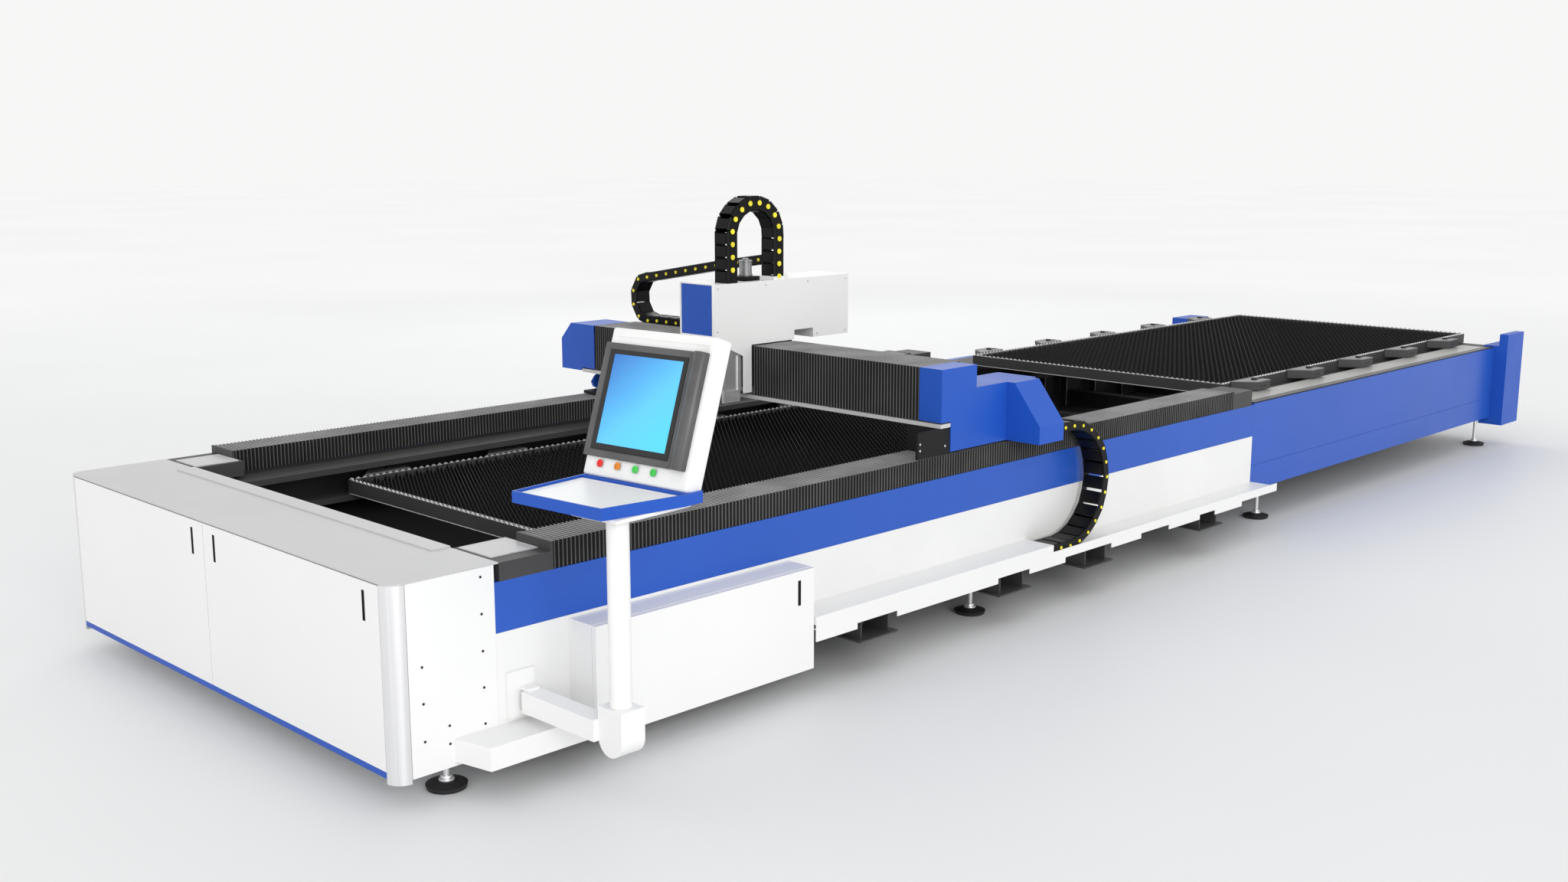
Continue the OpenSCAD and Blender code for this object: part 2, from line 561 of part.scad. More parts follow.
// ---- operator's console ----
// Wall plate with a hinge pin between two ears
module console_flange() color("white") shift() {
    span([340, 440], [-side_y - 12, -side_y - gap], [190, 335]);
    for (z = [arm_z[0] - 10.4, arm_z[1] + 0.4]) span([384, 425], [-1166, -side_y - 11], [z, z + 10]);
    translate([arm_pin_x, arm_pin_y, arm_z[0] - 6]) cylinder(r = 8, h = arm_z[1] - arm_z[0] + 12);
}
module console_arm() color("white") shift() {
    difference() {
        union() {
            span([372, 437], [-1490, arm_pin_y], arm_z);
            translate([arm_pin_x, arm_pin_y, arm_z[0]]) cylinder(r = 20, h = arm_z[1] - arm_z[0]);
        }
        translate([arm_pin_x, arm_pin_y, arm_z[0] - 1]) cylinder(r = 8.05, h = arm_z[1] - arm_z[0] + 2);
    }
    difference() {
        union() {
            span([post_axis_x - 44, post_axis_x + 44], [post_axis_y - 52, post_axis_y + 52], [223, 315]);
            translate([post_axis_x - 44, post_axis_y, 223]) rotate([0, 90, 0]) cylinder(r = 52, h = 88);
        }
        translate([post_axis_x, post_axis_y, 230]) cylinder(r = 24.05, h = 90);
    }
}
// The console's own frame: origin on the post's axis, X away from the operator
module on_post() translate([post_axis_x, post_axis_y, 0]) rotate(console_turn) children();
module console_post() color("white") shift() on_post() {
    translate([0, 0, 231]) cylinder(r = 24, h = 85);
    translate([0, 0, 315.4]) cylinder(r = 33, h = tray_z1 - 35 - 315.4);
}
module tray_plan(t) polygon([[-90 + t, -29 + t], [-90 + t, 340 - t], [190, 355 - t],
    [262 - t, 355 - t], [262 - t, -85 + t], [190, -85 + t]]);
module console_tray() color("royalblue") shift() on_post() difference() {
    translate([0, 0, tray_z1 - 35]) linear_extrude(35) tray_plan(0);
    translate([0, 0, tray_z1 - 26]) linear_extrude(40) intersection() {
        tray_plan(6);
        translate([-100, -100]) square([296, 460]);
    }
}
// The housing's frame: origin at its lower front edge, leaning back
module on_housing() on_post() translate([200, 0, tray_z1 + gap]) rotate([0, lean, 0]) children();
module console_housing() color("white") shift() difference() {
    on_housing() span([0, 68], [-75, 355], [-30, 459]);
    on_post() span([0, 500], [-300, 500], [700, tray_z1 + gap]);
    on_housing() span([6, 62], [-69, 349], [70, 453]);
    on_housing() for (i = [0:3]) translate([-1, button_y(i), button_s]) rotate([0, 90, 0])
        cylinder(r = 9.05, h = 14);
    on_housing() span([-1, 7], [screen_y[0], screen_y[1]], [screen_s[0], screen_s[1]]);
}
module console_screen() color([0.1, 0.3, 0.7]) shift() on_housing()
    span([-3, 5.6], [screen_y[0] + gap, screen_y[1] - gap], [screen_s[0] + gap, screen_s[1] - gap]);
module button(i) on_housing() translate([-7, button_y(i), button_s]) rotate([0, 90, 0]) cylinder(r = 9, h = 10);
module button_red() color("red") shift() button(0);
module button_orange() color("orange") shift() button(1);
module button_green_left() color("limegreen") shift() button(2);
module button_green_right() color("limegreen") shift() button(3);

cabinet_shell();
cabinet_top();
corner_columns();
kick_strip();
side_beams();
side_panels();
bed_frame();
bed_floor();
x_rails();
bellows_end_blocks();
cable_trays();
tray_cover();
anchor_brackets();
foot_pads();
foot_studs();
electrical_box();
exchange_sides();
exchange_end_posts();
exchange_cross_frame();
pallet_rails();
exchange_top_strips();
cabinet_door_far();
cabinet_door_near();
electrical_door();
console_flange();
console_arm();
console_post();
console_tray();
console_housing();
console_screen();
button_red();
button_orange();
button_green_left();
button_green_right();
gantry_beam();
saddle_blocks();
saddle_skirts();
saddle_cover_near();
saddle_cover_far();
y_rails();
x_motors();
rail_bellows_front();
rail_bellows_rear();
gantry_bellows_near();
gantry_bellows_far();
x_chain();
y_chain();
z_chain();
carriage_cover();
carriage_front_panel();
carriage_plate();
drive_motors();
z_plate();
laser_head();
outer_pallet_frame();
outer_pallet_slats();
inner_pallet_frame();
inner_pallet_slats();
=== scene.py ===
"""Gantry laser cutting machine with an exchange table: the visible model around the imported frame.

Lengths here are millimetres in the machine's own axes until at() turns them into the frame's metres:
X from the cabinet to the exchange table, Y = 0 in the bed's middle with the operator at -Y, Z up.
"""
import json
import math

import bpy
from mathutils import Matrix, Vector


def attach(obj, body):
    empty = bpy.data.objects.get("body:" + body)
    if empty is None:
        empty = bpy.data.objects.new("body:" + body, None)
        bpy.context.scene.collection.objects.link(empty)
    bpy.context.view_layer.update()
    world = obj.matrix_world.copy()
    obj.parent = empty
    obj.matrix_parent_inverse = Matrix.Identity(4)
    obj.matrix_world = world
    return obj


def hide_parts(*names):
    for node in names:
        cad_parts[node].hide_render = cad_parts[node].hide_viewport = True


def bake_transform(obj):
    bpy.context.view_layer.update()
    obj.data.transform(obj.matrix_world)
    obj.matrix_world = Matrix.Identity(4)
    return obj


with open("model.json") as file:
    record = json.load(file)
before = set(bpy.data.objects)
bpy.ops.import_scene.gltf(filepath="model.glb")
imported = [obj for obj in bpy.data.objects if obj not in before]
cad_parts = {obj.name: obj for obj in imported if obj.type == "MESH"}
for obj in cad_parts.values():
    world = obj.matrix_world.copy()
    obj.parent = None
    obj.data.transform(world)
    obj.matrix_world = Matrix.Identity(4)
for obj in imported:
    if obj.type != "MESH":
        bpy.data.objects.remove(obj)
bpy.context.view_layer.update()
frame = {"nodes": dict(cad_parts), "record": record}

MID_X = 4057.5
MID_Y = -176.5585
MM = 0.001


def at(x, y, z):
    return Vector(((x - MID_X) * MM, (y - MID_Y) * MM, z * MM))


# ------------------------------------------------------------------ working in the viewport

def deselect():
    if bpy.context.object and bpy.context.object.mode != "OBJECT":
        bpy.ops.object.mode_set(mode="OBJECT")
    bpy.ops.object.select_all(action="DESELECT")


def only(obj):
    deselect()
    obj.select_set(True)
    bpy.context.view_layer.objects.active = obj


def settle(obj):
    """Puts the piece's place, turn and scale into its mesh."""
    only(obj)
    bpy.ops.object.transform_apply(location=True, rotation=True, scale=True)
    return obj


def named(name):
    obj = bpy.context.object
    obj.name = name
    obj.data.name = name
    return obj


def block(name, x, y, z):
    deselect()
    low, high = at(x[0], y[0], z[0]), at(x[1], y[1], z[1])
    bpy.ops.mesh.primitive_cube_add(size=1, location=(low + high) / 2)
    obj = named(name)
    obj.scale = high - low
    return settle(obj)


def rod(name, start, end, radius, sides=24, end_radius=None):
    """A round bar, or a cone if it has an end radius, between two points given by at()."""
    deselect()
    run = end - start
    bpy.ops.mesh.primitive_cone_add(
        vertices=sides, radius1=radius * MM,
        radius2=(radius if end_radius is None else end_radius) * MM, depth=run.length,
        location=(start + end) / 2, rotation=run.to_track_quat("Z", "Y").to_euler())
    return settle(named(name))


def pick(obj, test):
    """Goes to edit mode with only the faces that pass the test selected."""
    only(obj)
    bpy.ops.object.mode_set(mode="EDIT")
    bpy.ops.mesh.select_mode(type="FACE")
    bpy.ops.mesh.select_all(action="DESELECT")
    bpy.ops.object.mode_set(mode="OBJECT")
    for face in obj.data.polygons:
        face.select = bool(test(face))
    bpy.ops.object.mode_set(mode="EDIT")


def pick_points(obj, test):
    only(obj)
    bpy.ops.object.mode_set(mode="EDIT")
    bpy.ops.mesh.select_mode(type="VERT")
    bpy.ops.mesh.select_all(action="DESELECT")
    bpy.ops.object.mode_set(mode="OBJECT")
    for point in obj.data.vertices:
        point.select = bool(test(point.co))
    bpy.ops.object.mode_set(mode="EDIT")


def back_to_object():
    bpy.ops.object.mode_set(mode="OBJECT")


def facing(axis, sign):
    return lambda face: face.normal[axis] * sign > 0.9


def recess(obj, test, margin, depth):
    """Insets the chosen faces and sinks them, or raises them with a negative depth."""
    pick(obj, test)
    bpy.ops.mesh.inset(thickness=margin * MM, depth=0, use_even_offset=True)
    bpy.ops.mesh.inset(thickness=0.0001, depth=-depth * MM)
    back_to_object()


def drop_faces(obj, test):
    pick(obj, test)
    bpy.ops.mesh.delete(type="FACE")
    back_to_object()


def apply_modifier(obj, kind, **settings):
    only(obj)
    mod = obj.modifiers.new(kind.title(), kind)
    for key, value in settings.items():
        setattr(mod, key, value)
    bpy.ops.object.modifier_apply(modifier=mod.name)
    return obj


def soften(obj, width, segments=2, angle=35):
    apply_modifier(obj, "BEVEL", width=width * MM, segments=segments, limit_method="ANGLE",
                   angle_limit=math.radians(angle), harden_normals=False)
    return obj


def smooth(obj, angle=35):
    only(obj)
    bpy.ops.object.shade_smooth_by_angle(angle=math.radians(angle))
    return obj


def paint_with(obj, *materials):
    obj.data.materials.clear()
    for material in materials:
        obj.data.materials.append(material)
    return obj


def join(name, parts):
    deselect()
    for part in parts:
        part.select_set(True)
    bpy.context.view_layer.objects.active = parts[0]
    if len(parts) > 1:
        bpy.ops.object.join()
    return named(name)


def copy_to(obj, matrix):
    twin = obj.copy()
    twin.data = obj.data.copy()
    bpy.context.scene.collection.objects.link(twin)
    twin.data.transform(matrix)
    return twin


def mirrored(obj):
    """A copy on the other side of the bed, with its faces turned outwards again."""
    twin = copy_to(obj, Matrix.Translation(at(MID_X, 0, 0)) @ Matrix.Scale(-1, 4, (0, 1, 0))
                   @ Matrix.Translation(-at(MID_X, 0, 0)))
    twin.data.flip_normals()
    return twin


def outward(obj):
    only(obj)
    bpy.ops.object.mode_set(mode="EDIT")
    bpy.ops.mesh.select_all(action="SELECT")
    bpy.ops.mesh.remove_doubles(threshold=0.00002)
    bpy.ops.mesh.normals_make_consistent(inside=False)
    back_to_object()
    return obj


def place(obj, body, slot, *nodes):
    """Rides the finished piece on its body and hides the frame's parts that it stands for."""
    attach(obj, body)
    if nodes:
        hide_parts(*nodes)
    return obj


# ------------------------------------------------------------------ finishes

def new_material(name, colour, roughness, metallic=0.0):
    material = bpy.data.materials.new(name)
    material.use_nodes = True
    nodes, links = material.node_tree.nodes, material.node_tree.links
    shader = nodes["Principled BSDF"]
    shader.inputs["Base Color"].default_value = (*colour, 1)
    shader.inputs["Roughness"].default_value = roughness
    shader.inputs["Metallic"].default_value = metallic
    place_node = nodes.new("ShaderNodeTexCoord")
    return material, nodes, links, shader, place_node


def noise(nodes, links, place_node, scale, detail=3.0, stretch=None):
    texture = nodes.new("ShaderNodeTexNoise")
    texture.inputs["Scale"].default_value = scale
    texture.inputs["Detail"].default_value = detail
    if stretch:
        mapping = nodes.new("ShaderNodeMapping")
        mapping.inputs["Scale"].default_value = stretch
        links.new(place_node.outputs["Object"], mapping.inputs["Vector"])
        links.new(mapping.outputs["Vector"], texture.inputs["Vector"])
    else:
        links.new(place_node.outputs["Object"], texture.inputs["Vector"])
    return texture


def ramp(nodes, links, source, low, high, start=0.35, end=0.65):
    """A colour ramp between two colours, driven by a texture's value."""
    node = nodes.new("ShaderNodeValToRGB")
    node.color_ramp.elements[0].position = start
    node.color_ramp.elements[0].color = (*low, 1)
    node.color_ramp.elements[1].position = end
    node.color_ramp.elements[1].color = (*high, 1)
    links.new(source, node.inputs["Fac"])
    return node


def spread(nodes, links, source, low, high):
    """Turns a 0 to 1 value into a range of values."""
    node = nodes.new("ShaderNodeMapRange")
    node.inputs["To Min"].default_value = low
    node.inputs["To Max"].default_value = high
    links.new(source, node.inputs["Value"])
    return node


def add_bump(nodes, links, shader, source, strength, distance):
    bump = nodes.new("ShaderNodeBump")
    bump.inputs["Strength"].default_value = strength
    bump.inputs["Distance"].default_value = distance
    links.new(source, bump.inputs["Height"])
    links.new(bump.outputs["Normal"], shader.inputs["Normal"])


def tinted(colour, factor):
    return tuple(min(1.0, c * factor) for c in colour)


def painted(name, colour, roughness=0.32, variation=0.04, peel=0.06, shine=0.5):
    """Powder coat: faint cloudiness in the colour, and the fine orange peel of sprayed paint."""
    material, nodes, links, shader, spot = new_material(name, colour, roughness)
    shader.inputs["Specular IOR Level"].default_value = shine
    cloud = noise(nodes, links, spot, 1.3, 4)
    shade = ramp(nodes, links, cloud.outputs["Fac"],
                 tinted(colour, 1 - variation), tinted(colour, 1 + variation))
    links.new(shade.outputs["Color"], shader.inputs["Base Color"])
    wear = noise(nodes, links, spot, 6, 5)
    gloss = spread(nodes, links, wear.outputs["Fac"], roughness - 0.06, roughness + 0.08)
    links.new(gloss.outputs["Result"], shader.inputs["Roughness"])
    grain = noise(nodes, links, spot, 420, 2)
    add_bump(nodes, links, shader, grain.outputs["Fac"], peel, 0.0004)
    return material


def paint_with_painted_shade_side(name, outside, inside, edge):
    """Paint that changes to another colour on all that is nearer the bed's middle than the edge: one of
    the two colours is painted shade.
    """
    material = painted(name, outside, shine=0.35)
    nodes, links = material.node_tree.nodes, material.node_tree.links
    shader = nodes["Principled BSDF"]
    shade = shader.inputs["Base Color"].links[0].from_socket
    spot = nodes.new("ShaderNodeTexCoord")
    split = nodes.new("ShaderNodeSeparateXYZ")
    links.new(spot.outputs["Object"], split.inputs["Vector"])
    source = split.outputs["Y"]
    for operation, value in (("ADD", MID_Y * MM), ("ABSOLUTE", 0), ("GREATER_THAN", edge * MM)):
        step = nodes.new("ShaderNodeMath")
        step.operation = operation
        step.inputs[1].default_value = value
        links.new(source, step.inputs[0])
        source = step.outputs["Value"]
    mix = nodes.new("ShaderNodeMix")
    mix.data_type = "RGBA"
    mix.inputs["A"].default_value = (*inside, 1)
    links.new(source, mix.inputs["Factor"])
    links.new(shade, mix.inputs["B"])
    links.new(mix.outputs["Result"], shader.inputs["Base Color"])
    return material


def metal(name, colour, roughness, stretch=(1, 1, 30), scale=18, contrast=0.1, metallic=1.0):
    """Drawn or ground steel with its grain running along one axis."""
    material, nodes, links, shader, spot = new_material(name, colour, roughness, metallic)
    grain = noise(nodes, links, spot, scale, 6, stretch)
    shade = ramp(nodes, links, grain.outputs["Fac"],
                 tinted(colour, 1 - contrast), tinted(colour, 1 + contrast))
    links.new(shade.outputs["Color"], shader.inputs["Base Color"])
    gloss = spread(nodes, links, grain.outputs["Fac"], roughness - contrast / 2, roughness + contrast)
    links.new(gloss.outputs["Result"], shader.inputs["Roughness"])
    add_bump(nodes, links, shader, grain.outputs["Fac"], contrast * 0.4, 0.0004)
    return material


def moulded(name, colour, roughness=0.45, grain_scale=900, strength=0.12, shine=0.5):
    """Moulded plastic or rubber with a fine grain."""
    material, nodes, links, shader, spot = new_material(name, colour, roughness)
    shader.inputs["Specular IOR Level"].default_value = shine
    cloud = noise(nodes, links, spot, 8, 3)
    shade = ramp(nodes, links, cloud.outputs["Fac"], tinted(colour, 0.85), tinted(colour, 1.15))
    links.new(shade.outputs["Color"], shader.inputs["Base Color"])
    grain = noise(nodes, links, spot, grain_scale, 2)
    add_bump(nodes, links, shader, grain.outputs["Fac"], strength, 0.0003)
    return material


def coated_cloth(name, colour, roughness):
    """Rubberised cloth of the bellows: woven threads under a dull coat."""
    material, nodes, links, shader, spot = new_material(name, colour, roughness)
    shader.inputs["Specular IOR Level"].default_value = 0.25
    cloud = noise(nodes, links, spot, 5, 4)
    shade = ramp(nodes, links, cloud.outputs["Fac"], tinted(colour, 0.8), tinted(colour, 1.2))
    links.new(shade.outputs["Color"], shader.inputs["Base Color"])
    weave = nodes.new("ShaderNodeTexWave")
    weave.wave_type = "BANDS"
    weave.bands_direction = "DIAGONAL"
    weave.inputs["Scale"].default_value = 260
    weave.inputs["Distortion"].default_value = 1.5
    links.new(spot.outputs["Object"], weave.inputs["Vector"])
    add_bump(nodes, links, shader, weave.outputs["Fac"], 0.15, 0.0003)
    return material


WHITE = painted("white_powder_coat", (0.83, 0.83, 0.825), 0.36, 0.012)
PALE_GREY = painted("pale_grey_powder_coat", (0.54, 0.54, 0.54), 0.42, 0.02)
BLUE = painted("blue_powder_coat", (0.014, 0.086, 0.47), 0.4, 0.05, shine=0.28)
SIDE_BLUE = (0.018, 0.092, 0.47)
DARK_PAINT = painted("dark_grey_paint", (0.045, 0.045, 0.046), 0.5, 0.15, 0.15, 0.4)
BLACK_PAINT = painted("black_paint", (0.008, 0.008, 0.008), 0.55, 0.15, 0.15, 0.25)
INNER_GREY = painted("inner_grey_paint", (0.06, 0.06, 0.06), 0.5, 0.2, 0.15, 0.4)
# Painted shade: the beams, table sides and panels turn near black on their inner faces, standing in for
# the shade inside the bed.
BLUE_BEAM_INNER_SHADE = paint_with_painted_shade_side("blue_beam_paint_inner_shade", SIDE_BLUE, (0.02, 0.02, 0.02), 942)
BLUE_TABLE_INNER_SHADE = paint_with_painted_shade_side("blue_table_paint_inner_shade", SIDE_BLUE, (0.06, 0.06, 0.06), 1056)
WHITE_PANEL_INNER_SHADE = paint_with_painted_shade_side("white_panel_paint_inner_shade", (0.79, 0.79, 0.785), (0.02, 0.02, 0.021), 1108)
# Painted shadow: the shelf strips are near black where they lie over the table's sides, a dark shadow
# line at the sides' top edge. Inward they keep their own light grey.
TABLE_SHELF_EDGE_SHADOW = paint_with_painted_shade_side("table_shelf_paint_edge_shadow", (0.03, 0.03, 0.03), (0.40, 0.395, 0.38), 1052)
SLAT_STEEL = metal("burnt_slat_steel", (0.05, 0.049, 0.05), 0.55, (1, 12, 1), 14)
TROUGH_PAINT = painted("sooty_trough", (0.014, 0.014, 0.014), 0.7, 0.3, 0.2, 0.2)
SATIN_STEEL = metal("satin_steel", (0.80, 0.80, 0.81), 0.32, (12, 12, 0.3), 8, 0.03, 0.75)
RAIL_STEEL = metal("rail_steel", (0.60, 0.60, 0.61), 0.4, (0.5, 14, 14), 16, 0.06, 0.7)
BRIGHT_EDGE = metal("bright_cut_edge", (0.78, 0.78, 0.79), 0.42, (1, 8, 1), 12, 0.05, 0.5)
LUG_GREY = painted("lug_grey_paint", (0.20, 0.20, 0.203), 0.45, 0.05, 0.1)
MOTOR_GREY = metal("motor_grey", (0.30, 0.30, 0.31), 0.35, (12, 12, 0.3), 8, 0.05, 0.5)
BLACK_PLASTIC = moulded("black_chain_plastic", (0.003, 0.003, 0.003), 0.36, shine=0.16)
YELLOW = moulded("yellow_plastic", (0.86, 0.76, 0.03), 0.4, 700, 0.05)
RUBBER = moulded("black_rubber", (0.012, 0.012, 0.013), 0.6, 600, 0.2)
# One bellows cloth in lit and shaded copies: the sides are darker than the top as painted shade, and the
# ridges and crests are painted highlights on the folds.
BELLOWS_SIDE_SHADED = coated_cloth("bellows_side_cloth_painted_shade", (0.010, 0.010, 0.010), 0.7)
BELLOWS_RIDGE_HIGHLIGHT = coated_cloth("bellows_ridge_painted_highlight", (0.10, 0.10, 0.098), 0.65)
BELLOWS_TOP = coated_cloth("bellows_top_cloth", (0.10, 0.10, 0.10), 0.62)
BELLOWS_CREST_HIGHLIGHT = coated_cloth("bellows_crest_painted_highlight", (0.36, 0.36, 0.36), 0.6)
CONSOLE_GREY = moulded("grey_bezel_plastic", (0.085, 0.085, 0.088), 0.34, 800, 0.05)
SCREEN_BLACK = moulded("black_screen_border", (0.008, 0.008, 0.009), 0.25, 500, 0.03)
BRASS = metal("brass", (0.72, 0.50, 0.18), 0.28, (3, 3, 1), 60)
RED = moulded("red_button_plastic", (0.75, 0.02, 0.015), 0.3, 900, 0.03)
ORANGE = moulded("orange_button_plastic", (0.85, 0.28, 0.02), 0.3, 900, 0.03)
GREEN = moulded("green_button_plastic", (0.05, 0.55, 0.08), 0.3, 900, 0.03)

FINISH_OF_SLOT = {
    "white_paint": WHITE, "grey_paint": PALE_GREY, "blue_paint": BLUE, "satin_steel": SATIN_STEEL,
    "rail_steel": RAIL_STEEL, "dark_steel": DARK_PAINT, "black_rubber": RUBBER,
    "black_plastic": BLACK_PLASTIC, "screen_glass": SCREEN_BLACK, "red_plastic": RED,
    "orange_plastic": ORANGE, "green_plastic": GREEN, "head_aluminium": SATIN_STEEL,
}
FINISH_OF_NODE = {
    "bed_floor": TROUGH_PAINT, "bed_frame": BLACK_PAINT, "gantry_beam": PALE_GREY,
    "saddle_blocks": BLACK_PAINT, "pallet_rails": DARK_PAINT, "side_beams": BLUE_BEAM_INNER_SHADE,
    "exchange_sides": BLUE_TABLE_INNER_SHADE, "side_panels": WHITE_PANEL_INNER_SHADE, "bellows_end_blocks": DARK_PAINT,
    "exchange_top_strips": TABLE_SHELF_EDGE_SHADOW, "exchange_cross_frame": INNER_GREY,
}

for subpart in frame["record"]["subparts"]:
    cad_object = frame["nodes"][subpart["node"]]
    finish = FINISH_OF_NODE.get(subpart["node"], FINISH_OF_SLOT[subpart["material_slot"]])
    paint_with(cad_object, finish)


# ------------------------------------------------------------------ folded bellows


def follow(piece):
    """Puts the piece's place and turn into its mesh."""
    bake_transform(piece)


SHARES = (0, 0.03, 0.08, 0.2, 0.5, 0.8, 0.92, 0.97, 1)
HIGHLIGHT_START, HIGHLIGHT_END = 0.34, 0.5       # the band of each fold painted lighter as a painted highlight


def pleat(name, pitch, across, z, side_fold, top_fold):
    """One fold of a bellows along X, an open arch with its ends drawn in."""
    obj = block(name, (0, pitch), across, z)
    x0 = at(0, 0, 0).x
    drop_faces(obj, lambda f: abs(f.normal.x) > 0.9 or f.normal.z < -0.9)
    pick(obj, lambda f: True)
    bpy.ops.mesh.bisect(plane_co=(x0 + pitch / 2 * MM, 0, 0), plane_no=(1, 0, 0))
    back_to_object()
    pick_points(obj, lambda p: abs(p.x - x0 - pitch / 2 * MM) > pitch * 0.2 * MM)
    centre = at(0, (across[0] + across[1]) / 2, z[0])
    width, height = across[1] - across[0], z[1] - z[0]
    bpy.ops.transform.resize(value=(1, 1 - 2 * side_fold / width, 1 - top_fold / height),
                             center_override=centre)
    bpy.ops.mesh.select_all(action="SELECT")
    bpy.ops.mesh.bisect(plane_co=(x0 + pitch * HIGHLIGHT_START * MM, 0, 0), plane_no=(1, 0, 0))
    back_to_object()
    return obj


def pleated(name, start, end, across, z, side_fold=8.0, top_fold=2.5, pitch=16.0, shares=SHARES):
    """A bellows along X in sections, and the places where the sections meet."""
    count = max(2, round((end - start) / pitch))
    step = (end - start) / count
    sections = []
    for i in range(len(shares) - 1):
        first, last = round(shares[i] * count), round(shares[i + 1] * count)
        section = pleat(f"{name}_{i + 1}", step, across, z, side_fold, top_fold)
        section.data.transform(Matrix.Translation(Vector(((start + first * step) * MM, 0, 0))))
        apply_modifier(section, "ARRAY", count=last - first, use_relative_offset=False,
                       use_constant_offset=True, constant_offset_displace=(step * MM, 0, 0),
                       use_merge_vertices=True, merge_threshold=0.0001)
        apply_modifier(section, "SOLIDIFY", thickness=0.0015, offset=-1)
        paint_with(section, BELLOWS_SIDE_SHADED, BELLOWS_TOP, BELLOWS_RIDGE_HIGHLIGHT, BELLOWS_CREST_HIGHLIGHT)
        # Painted highlight on the band of each fold, the crest cloth on tops and the ridge cloth on
        # sides. Other top faces take the top cloth, and the rest keep the side cloth's painted shade.
        for face in section.data.polygons:
            share = (face.center.x - at(start, 0, 0).x) / (step * MM) % 1
            if HIGHLIGHT_START < share < HIGHLIGHT_END:
                face.material_index = 3 if face.normal.z > 0.6 else 2
            elif face.normal.z > 0.6:
                face.material_index = 1
        sections.append((section, start + first * step, start + last * step))
    return sections


def turn_to_cross(obj, pivot):
    """Turns a piece made along X so that it runs along Y, about a point."""
    obj.data.transform(Matrix.Translation(pivot) @ Matrix.Rotation(math.radians(90), 4, "Z")
                       @ Matrix.Translation(-pivot))
    return obj


RAIL_ACROSS = (-1110, -937)
RAIL_Z = (620.6, 709)


def rail_bellows(name, fixed, moving, node):
    start, end = min(fixed, moving), max(fixed, moving)
    for section, x0, x1 in pleated(name, start, end, RAIL_ACROSS, RAIL_Z):
        near_name = section.name
        twin = mirrored(section)
        both = join(near_name, [section, twin])
        place(both, "bed", "black_rubber", node)
        both.parent = None
        both.matrix_world = Matrix.Identity(4)
        follow(both)


SADDLE_X = (2400, 3005)
GAP = 0.4
rail_bellows("rail_bellows_front", 532, SADDLE_X[0], "rail_bellows_front")
rail_bellows("rail_bellows_rear", 4640, SADDLE_X[1], "rail_bellows_rear")

for skirt, _, _ in pleated("saddle_skirt", SADDLE_X[0] + GAP, SADDLE_X[1] - GAP,
                           RAIL_ACROSS, RAIL_Z, shares=(0, 1)):
    place(join("saddle_skirts_pleated", [skirt, mirrored(skirt)]), "gantry", "black_rubber",
          "saddle_skirts")


def cross_bellows(name, fixed, moving, node):
    """Bellows over the gantry's rails, made along X and turned to run along Y."""
    start, end = min(fixed, moving), max(fixed, moving)
    pivot = at(0, 0, 0)
    for section, y0, y1 in pleated(name, start, end, (-2655, -2400), (831.6, 1045), 7, 2.5):
        turn_to_cross(section, pivot)
        place(section, "gantry", "black_rubber", node)
        section.parent = None
        section.matrix_world = Matrix.Identity(4)
        follow(section)


cross_bellows("gantry_bellows_near", -999, -69.4, "gantry_bellows_near")
cross_bellows("gantry_bellows_far", 1006, 135.4, "gantry_bellows_far")


# ------------------------------------------------------------------ cable chains

def chain_link(name, pitch, height, width):
    """One link, along X with its width along Y, centred on its own place."""
    parts = []
    cheek = 9
    for side in (-1, 1):
        y = side * (width / 2 - cheek / 2)
        plate = block("cheek", (-pitch * 0.56, pitch * 0.56), (y - cheek / 2, y + cheek / 2),
                      (-height / 2, height / 2))
        pick(plate, facing(1, side))
        bpy.ops.mesh.inset(thickness=height * 0.16 * MM, depth=-0.0018)
        back_to_object()
        soften(plate, height * 0.14, 1, 60)
        parts.append(paint_with(plate, BLACK_PLASTIC))
        stud = rod("stud", at(-pitch * 0.5, y, 0), at(-pitch * 0.5, y + side * (cheek / 2 + 1.5), 0),
                   height * 0.18, 12)
        parts.append(paint_with(stud, YELLOW))
    for level in (-1, 1):
        z = level * (height / 2 - 3)
        bar = block("bar", (-pitch * 0.36, pitch * 0.42), (-width / 2 + cheek, width / 2 - cheek),
                    (z - 3, z + 3))
        soften(bar, 1.2, 1, 60)
        parts.append(paint_with(bar, BLACK_PLASTIC))
    link = join(name, parts)
    link.data.transform(Matrix.Translation(-at(0, 0, 0)))
    return link


def along_path(points, pitch):
    """Places every pitch along a line of points: position and unit direction in its plane."""
    runs = [(b - a).length for a, b in zip(points, points[1:])]
    total = sum(runs)
    count = round(total / (pitch * MM))
    places = []
    for i in range(count):
        distance = (i + 0.5) * total / count
        k = 0
        while k < len(runs) - 1 and distance > runs[k]:
            distance -= runs[k]
            k += 1
        direction = (points[k + 1] - points[k]).normalized()
        places.append((points[k] + direction * distance, direction))
    return places


def arc(centre, radius, start, end, steps, plane):
    """Points on an arc: plane gives the two unit vectors that 0 and 90 degrees lie on."""
    u, v = plane
    found = []
    for i in range(steps + 1):
        angle = math.radians(start + (end - start) * i / steps)
        found.append(centre + (u * math.cos(angle) + v * math.sin(angle)) * radius * MM)
    return found


def lay_chain(name, link, points, pitch, width_axis):
    """Copies the link along the points, its width kept on the given axis."""
    links = []
    for spot, direction in along_path(points, pitch):
        up = width_axis.cross(direction) * -1
        turn = Matrix((direction, width_axis, up)).transposed().to_4x4()
        links.append(copy_to(link, Matrix.Translation(spot) @ turn))
    return join(name, links)


